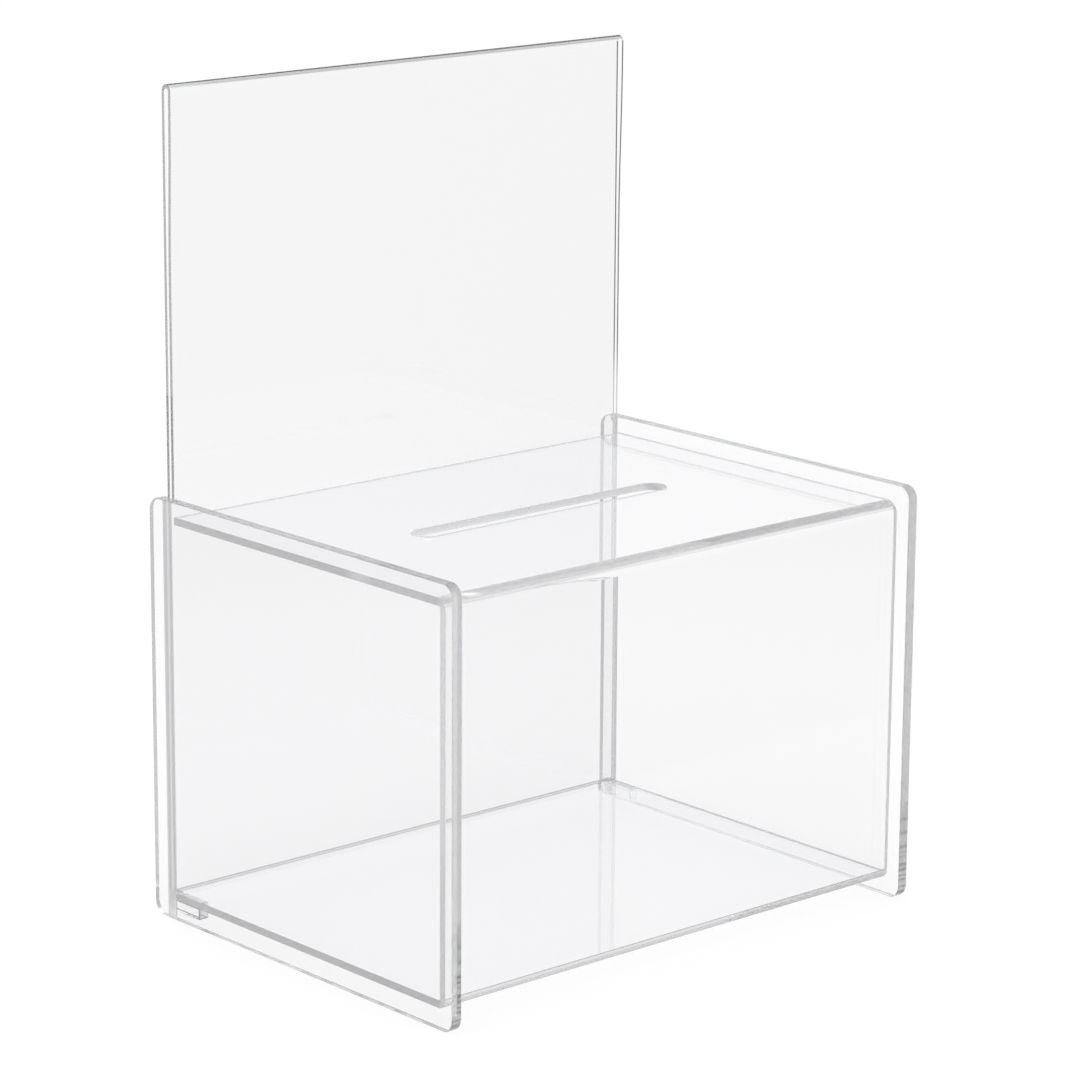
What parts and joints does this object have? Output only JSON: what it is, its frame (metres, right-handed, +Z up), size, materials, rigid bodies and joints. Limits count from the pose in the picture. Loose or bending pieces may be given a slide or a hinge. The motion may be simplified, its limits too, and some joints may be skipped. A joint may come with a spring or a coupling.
{
  "type": "ballot box",
  "caption": "Clear ballot box of bent sheet between rounded side plates, with a posting slot on top and a folded sign panel that lifts out of grooves at the back.",
  "frame": {"origin": "middle of the footprint, on the surface that the side plates stand on", "axes": "+Z up; -Y is the front, where the body is bent down; +Y is the back, where the sign panel stands; +X is to the right seen from the front"},
  "size_m": [0.312, 0.236, 0.43],
  "materials": {
    "plate_acrylic": "clear cast acrylic, 6 mm, glossy faces and sawn, polished edges",
    "body_acrylic": "clear acrylic sheet, 4 mm, glossy, heat bent",
    "panel_acrylic": "clear acrylic sheet, 2 mm, glossy, folded over"
  },
  "bodies": {
    "box": {"side_plate_left": "plate_acrylic", "side_plate_right": "plate_acrylic", "bent_body": "body_acrylic", "rear_bracket_left": "plate_acrylic", "rear_bracket_right": "plate_acrylic"},
    "panel": {"sign_panel": "panel_acrylic"}
  },
  "joints": [
    {"name": "panel_lift", "type": "slide", "parent": "box", "child": "panel", "axis": [0, 0, 1], "range_m": [0, 0.215]}
  ]
}
